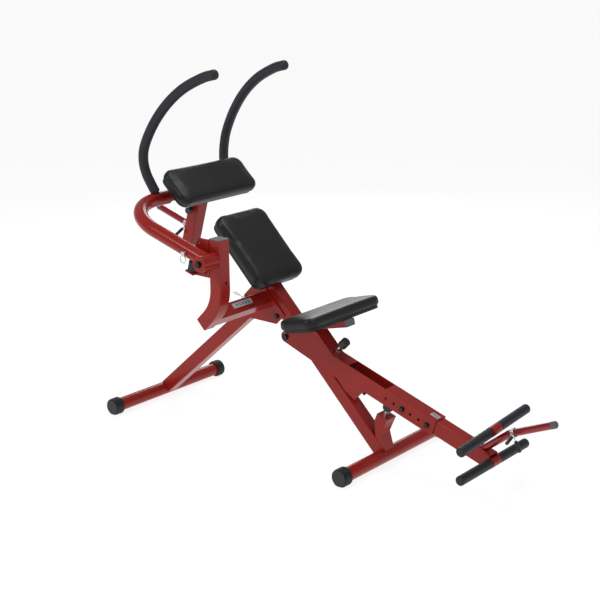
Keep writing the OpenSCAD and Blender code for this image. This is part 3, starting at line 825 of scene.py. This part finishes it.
@dataclass
class Cushion:
    """A padded board: crowned top, rounded lip, sides that pull in between the corners."""

    name: str
    node: str
    body: str
    tilt: float
    length: float
    width: float
    thickness: float
    corner: float
    lip: float = 14.0
    crown: float = 1.6
    pull: float = 1.4
    shrink: float = 1.6
    cap: float = 2.4
    voxel: float = 5.0
    arc: int = 10
    side: int = 14
    frames: int = 20
    least_corner: float = 5.0
    hold: float = 5.0
    stretch: float = 25.0
    bend: float = 20.0
    pressure: float = 4.0
    fold: float = 0.9
    fold_rise: float = 0.55
    fold_from: float = 0.7
    fold_rate: float = 26.0
    fill: float = 0.85

    def outline(self, inset: float) -> list[tuple[float, float]]:
        """The rounded rectangle, its sides bowed inwards.

        Args:
            inset: how far it is drawn in from the pad's edge.

        Returns:
            Its points in order, millimetres.
        """
        radius = max(self.corner - inset, self.least_corner)
        half_x = self.length / 2 - inset - radius
        half_y = self.width / 2 - inset - radius
        corners = [(half_x, half_y), (-half_x, half_y), (-half_x, -half_y), (half_x, -half_y)]
        points = []
        for quarter, (cx, cy) in enumerate(corners):
            for k in range(self.arc + 1):
                a = math.radians(90 * (quarter + k / self.arc))
                points.append((cx + radius * math.cos(a), cy + radius * math.sin(a)))
            a = math.radians(90 * (quarter + 1))
            nx, ny = corners[(quarter + 1) % 4]
            end = (nx + radius * math.cos(a), ny + radius * math.sin(a))
            begin = points[-1]
            for k in range(1, self.side):
                f = k / self.side
                bow = self.pull * 4 * f * (1 - f)
                points.append((begin[0] + (end[0] - begin[0]) * f - bow * math.cos(a),
                               begin[1] + (end[1] - begin[1]) * f - bow * math.sin(a)))
        return points

    def levels(self) -> list[tuple[float, float]]:
        """The rings from the flat underside over the lip to the crown.

        Returns:
            (inset, height) of each ring, millimetres.
        """
        low, high = -self.thickness / 2, self.thickness / 2 - self.shrink
        rings = [(24.0, low), (5.0, low), (2.0, low + 1.2), (0.4, low + 4.0),
                 (0.0, low + self.thickness * 0.35)]
        for a in range(0, 91, 15):
            rings.append((self.lip * (1 - math.cos(math.radians(a))),
                          high - self.crown - self.lip * (1 - math.sin(math.radians(a)))))
        inner = min(self.length, self.width) / 2 - self.lip
        for k in range(1, 8):
            f = k / 8
            rings.append((self.lip + inner * f, high - self.crown * (1 - f) ** 2))
        return [(inset + self.shrink, height) for inset, height in rings]

    def start_shape(self) -> bpy.types.Object:
        """Makes the slightly small cushion that the inside pressure then fills.

        Returns:
            The closed start shape.
        """
        build = bmesh.new()
        rings = [[build.verts.new((x * MM, y * MM, height * MM))
                  for x, y in self.outline(inset)] for inset, height in self.levels()]
        for low, high in zip(rings, rings[1:]):
            for k in range(len(low)):
                n = (k + 1) % len(low)
                build.faces.new((low[k], low[n], high[n], high[k]))
        build.faces.new(rings[0])
        build.faces.new(rings[-1])
        return from_mesh(self.name, build)

    def inflate(self, piece: bpy.types.Object) -> None:
        """Fills the cover by cloth simulation, its underside held to the board.

        Args:
            piece: the start shape, which is remeshed and swollen in place.
        """
        piece.data.remesh_voxel_size = self.voxel * MM
        pick(piece)
        bpy.ops.object.voxel_remesh()
        low = -self.thickness / 2 * MM
        rest = [v.co.copy() for v in piece.data.vertices]
        held = piece.vertex_groups.new(name="held")
        held.add([i for i, co in enumerate(rest) if co.z < low + self.hold * MM], 1.0,
                 "REPLACE")
        cloth = piece.modifiers.new("cover", "CLOTH")
        cloth.settings.quality = 6
        cloth.settings.mass = 0.3
        cloth.settings.tension_stiffness = self.stretch
        cloth.settings.compression_stiffness = self.stretch
        cloth.settings.bending_stiffness = self.bend
        cloth.settings.use_pressure = True
        cloth.settings.uniform_pressure_force = self.pressure
        cloth.settings.vertex_group_mass = "held"
        cloth.settings.effector_weights.gravity = 0.0
        cloth.point_cache.frame_end = self.frames
        for number in range(1, self.frames + 1):
            bpy.context.scene.frame_set(number)
        moved = piece.evaluated_get(bpy.context.evaluated_depsgraph_get()).data
        places = [v.co.copy() for v in moved.vertices]
        piece.modifiers.remove(cloth)
        bpy.context.scene.frame_set(1)
        for vertex, old, new in zip(piece.data.vertices, rest, places):
            step = new - old
            if step.length > self.cap * MM:
                step *= self.cap * MM / step.length
            vertex.co = old + step
            vertex.co.z = max(vertex.co.z, low)

    def tuck(self, piece: bpy.types.Object) -> None:
        """Gathers the cover into small folds round the foot of each corner.

        Args:
            piece: the finished shape, changed in place.
        """
        low = -self.thickness / 2
        for vertex in piece.data.vertices:
            x, y, z = (c / MM for c in vertex.co)
            cx = abs(x) - (self.length / 2 - self.corner)
            cy = abs(y) - (self.width / 2 - self.corner)
            if cx <= 0 or cy <= 0:
                continue
            out = math.hypot(cx, cy) / self.corner
            foot = max(0.0, 1 - (z - low) / (self.thickness * self.fold_rise))
            angle = math.atan2(cy, cx)
            fade = math.sin(2 * angle) ** 2
            edge = max(0.0, out - self.fold_from) / (1 - self.fold_from)
            depth = self.fold * foot * fade * edge * math.sin(angle * self.fold_rate)
            vertex.co.x += math.copysign(math.cos(angle), x) * depth * MM
            vertex.co.y += math.copysign(math.sin(angle), y) * depth * MM

    def build(self) -> bpy.types.Object:
        """Makes the cushion in the room that its CAD solid holds.

        Returns:
            The cushion, riding on its body.
        """
        piece = self.start_shape()
        self.inflate(piece)
        apply_modifier(piece, "SMOOTH", factor=0.5, iterations=4)
        apply_modifier(piece, "SUBSURF", levels=1, render_levels=1)
        self.tuck(piece)
        place = Matrix.Translation(middle(self.node)) @ turn(self.tilt, "Y")
        settle(piece, place, Slot.VINYL, self.body, 75.0)
        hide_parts(self.node)
        return piece


CUSHIONS = (
    Cushion("back_cushion", "back_pad", "frame", 45, 312, 252, 42, 42),
    Cushion("upper_cushion", "upper_pad", "pad_slide", 43, 158, 396, 37, 38),
    Cushion("seat_cushion", "seat_pad", "seat", -14, 166, 398, 37, 38),
)


# ---- spring collars --------------------------------------------------------------------
@dataclass
class SpringCollar:
    """A wound spring collar: coil round the post and two gripped arms to squeeze."""

    name: str
    node: str
    body: str
    place: Matrix
    post: float = 25.0
    wire: float = 3.6
    turns: int = 4
    height: float = 16.0
    spread: float = 40.0
    grip: float = 12.0
    reach: tuple[float, float] = (28.0, 68.0)
    ribs: int = 7

    def coil(self) -> bpy.types.Object:
        """Winds the wire: a ring of the wire's section, screwed up round the post.

        Returns:
            The closed coil, its foot at the origin.
        """
        deselect()
        middle_radius = self.post / 2 + self.wire / 2 + 0.2
        rise = self.height - self.wire
        bpy.ops.mesh.primitive_circle_add(
            vertices=12, radius=self.wire / 2 * MM, rotation=(math.radians(90), 0, 0),
            location=(middle_radius * MM, 0, self.wire / 2 * MM))
        coil = bpy.context.object
        bpy.ops.object.transform_apply(location=True, rotation=True, scale=True)
        sweep = 360 * self.turns - 90
        steps = 24 * self.turns
        apply_modifier(coil, "SCREW", axis="Z", angle=math.radians(sweep),
                       screw_offset=rise * MM, steps=steps, render_steps=steps,
                       use_merge_vertices=False, use_smooth_shade=True)
        bpy.ops.object.mode_set(mode="EDIT")
        bpy.ops.mesh.select_all(action="SELECT")
        bpy.ops.mesh.fill_holes(sides=0)
        bpy.ops.mesh.select_all(action="SELECT")
        bpy.ops.mesh.normals_make_consistent(inside=False)
        bpy.ops.object.mode_set(mode="OBJECT")
        coil.data.transform(turn(-90 + self.spread, "Z"))
        return coil

    def arm(self) -> bpy.types.Object:
        """Turns the straight wire of one arm, with a rounded end.

        Returns:
            The wire, along Z.
        """
        wire = self.wire / 2
        return turned("arm_wire", [(wire, self.post / 2 + 1.0), (wire, self.reach[0] + 6.0),
                                   (wire * 0.7, self.reach[0] + 7.0)], 16)

    def sleeve(self) -> bpy.types.Object:
        """Turns one grip: a soft sleeve with shallow ribs.

        Returns:
            The grip, along Z.
        """
        radius, (low, high) = self.grip / 2, self.reach
        profile = [(radius - 2.2, low), (radius - 0.8, low + 0.5), (radius, low + 1.6)]
        pitch = (high - low - 10) / self.ribs
        for k in range(self.ribs):
            foot = low + 4 + pitch * k
            profile += [(radius, foot), (radius - 0.7, foot + 0.5),
                        (radius - 0.7, foot + 1.5), (radius, foot + 2.0)]
        profile += [(radius, high - 3), (radius - 0.8, high - 1.0), (radius - 2.6, high)]
        return turned("sleeve", profile, 28)

    def build(self) -> None:
        """Puts the coil, the arms and the grips on the post."""
        wires, grips = [self.coil()], []
        for side, level in ((1, self.wire / 2), (-1, self.height - self.wire / 2)):
            out = move(0, 0, level) @ turn(side * self.spread, "Z") @ turn(90, "X")
            for made, kept in ((self.arm(), wires), (self.sleeve(), grips)):
                made.data.transform(out)
                kept.append(made)
        spring = settle(joined(wires, self.name), self.place, Slot.BRIGHT_STEEL, self.body,
                        60.0)
        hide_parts(self.node)
        settle(joined(grips, f"{self.name}_grips"), self.place, Slot.BLACK_PLASTIC, self.body)


ARM_POST_LEAN = 16.8
LINK_SLOPE = 38.7
LINK_LENGTH = 141
FRONT_POST_SLOPE = 23.8
REAR_POST = machine(move(151, 0, 619), turn(ARM_POST_LEAN, "Y"), move(-25, 0, 96),
                    turn(-90, "Y"))
FRONT_POST = machine(move(1470, 0, 146), turn(90 - LINK_SLOPE, "Y"), move(0, 0, LINK_LENGTH),
                     turn(LINK_SLOPE - FRONT_POST_SLOPE, "Y"))
COLLARS = (
    SpringCollar("rear_spring", "rear_spring_collar", "rear_collar",
                 REAR_POST @ move(0, 0, 6) @ turn(-75, "Z")),
    SpringCollar("front_spring", "front_spring_collar", "front_collar",
                 FRONT_POST @ move(0, 0, 8) @ turn(55, "Z")),
)


# ---- labels -----------------------------------------------------------------------------
@dataclass
class Label:
    """A plain printed label, stuck to a flat face; X along it and Z out of the face."""

    name: str
    body: str
    place: Matrix
    length: float
    height: float
    thickness: float = 0.5
    corner: float = 3.0
    edge: float = 0.15

    def build(self) -> None:
        """Makes a thin plate with rounded corners and softened edges."""
        deselect()
        bpy.ops.mesh.primitive_cube_add(size=1.0, enter_editmode=True)
        plate = bpy.context.object
        plate.name = self.name
        bpy.ops.transform.resize(
            value=(self.length * MM, self.height * MM, self.thickness * MM))
        bpy.ops.object.mode_set(mode="OBJECT")
        for edge in plate.data.edges:
            a, b = (plate.data.vertices[i].co for i in edge.vertices)
            edge.select = abs(a.z - b.z) > self.thickness * MM / 2
        for face in plate.data.polygons:
            face.select = False
        bpy.ops.object.mode_set(mode="EDIT")
        bpy.ops.mesh.select_mode(type="EDGE")
        bpy.ops.mesh.bevel(offset=self.corner * MM, segments=5, affect="EDGES")
        bpy.ops.object.mode_set(mode="OBJECT")
        apply_modifier(plate, "BEVEL", width=self.edge * MM, segments=2,
                       limit_method="ANGLE")
        settle(plate, self.place, Slot.GREY_PLASTIC, self.body, 30.0)
        finish = StripedLabel(f"{self.name}_print", (0.42, 0.43, 0.45), place=self.place,
                              half=(self.length / 2 * MM, self.height / 2 * MM))
        plate.data.materials[0] = finish.material()
        del plate["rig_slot"]


LABELS = (
    Label("crossbar_label", "frame", machine(
        move(573.0, -164, 521.0), turn(45, "Y"), turn(90, "Z"), move(0, 0, 0.2)), 96, 21),
    Label("lever_label", "foot_lever", machine(
        move(1000, 0, 285), turn(LEVER_SLOPE, "Y"), move(297, 0, 28.6)), 32, 22),
)


# ---- studio ------------------------------------------------------------------------------
@dataclass
class Studio:
    """Pale floor, soft boxes, white surroundings and the camera."""

    eye: tuple[float, float, float] = (2.6985, -3.2905, 1.8216)
    heading: float = 40.55
    dip: float = 16.52
    roll: float = -0.679
    lens: float = 77.1
    sensor: float = 36.0
    aim: tuple[float, float, float] = (0.0, 0.0, 0.5)
    floor_half: float = 60.0
    floor_colour: Rgb = (0.22, 0.22, 0.22)
    backdrop: float = 1.05
    ambient: float = 0.36
    boxes: tuple[tuple[str, tuple[float, float, float], float, float], ...] = (
        ("key", (-1.6, -3.2, 3.4), 1.3, 62.0),
        ("fill", (3.6, -1.0, 2.6), 1.2, 16.0),
        ("top", (0.2, 0.6, 3.6), 1.6, 34.0),
        ("rim", (-2.6, 2.9, 2.0), 1.8, 30.0),
    )

    def camera(self) -> None:
        """Stands the camera at its place, level but for a slight roll."""
        data = bpy.data.cameras.new("camera")
        data.lens, data.sensor_width = self.lens, self.sensor
        data.clip_start, data.clip_end = 0.05, 300.0
        camera = bpy.data.objects.new("camera", data)
        bpy.context.scene.collection.objects.link(camera)
        camera.matrix_world = (Matrix.Translation(Vector(self.eye)) @ turn(self.heading, "Z")
                               @ turn(90 - self.dip, "X") @ turn(self.roll, "Z"))
        bpy.context.scene.camera = camera

    def floor(self) -> None:
        """Lays the floor under the machine."""
        deselect()
        bpy.ops.mesh.primitive_plane_add(size=2 * self.floor_half)
        floor = bpy.context.object
        floor.name = "floor"
        floor.data.materials.append(FloorPaint("floor_paint", self.floor_colour).material())

    def light(self) -> None:
        """Hangs the soft boxes."""
        for name, place, size, watts in self.boxes:
            data = bpy.data.lights.new(name, "AREA")
            data.shape, data.size, data.energy = "DISK", size, watts
            lamp = bpy.data.objects.new(name, data)
            bpy.context.scene.collection.objects.link(lamp)
            lamp.location = place
            toward = Vector(self.aim) - Vector(place)
            lamp.rotation_euler = toward.to_track_quat("-Z", "Y").to_euler()

    def surroundings(self) -> None:
        """Sets the white surroundings, brighter as a backdrop than as a light."""
        world = bpy.data.worlds.new("surroundings")
        world.use_nodes = True
        tree = world.node_tree
        background = tree.nodes["Background"]
        background.inputs["Color"].default_value = (1.0, 1.0, 1.0, 1.0)
        path = tree.nodes.new("ShaderNodeLightPath")
        level = tree.nodes.new("ShaderNodeMath")
        level.operation = "MULTIPLY_ADD"
        level.inputs[1].default_value = self.backdrop - self.ambient
        level.inputs[2].default_value = self.ambient
        tree.links.new(path.outputs["Is Camera Ray"], level.inputs[0])
        tree.links.new(level.outputs[0], background.inputs["Strength"])
        bpy.context.scene.world = world

    def build(self) -> None:
        """Sets the whole studio up."""
        self.camera()
        self.floor()
        self.light()
        self.surroundings()
        bpy.context.scene.view_settings.view_transform = "Standard"


def main() -> None:
    """Builds the pieces in order and reports each one."""
    logging.basicConfig(level=logging.INFO, format="%(name)s: %(message)s")
    Studio().build()
    LOG.info("studio")
    dress_frame()
    LOG.info("frame dressed")
    for group in (*CUSHIONS, Handles(), FootRollers(), *COLLARS, *LABELS):
        group.build()
        LOG.info("%s", getattr(group, "name", type(group).__name__))


if __name__ == "__main__":
    main()
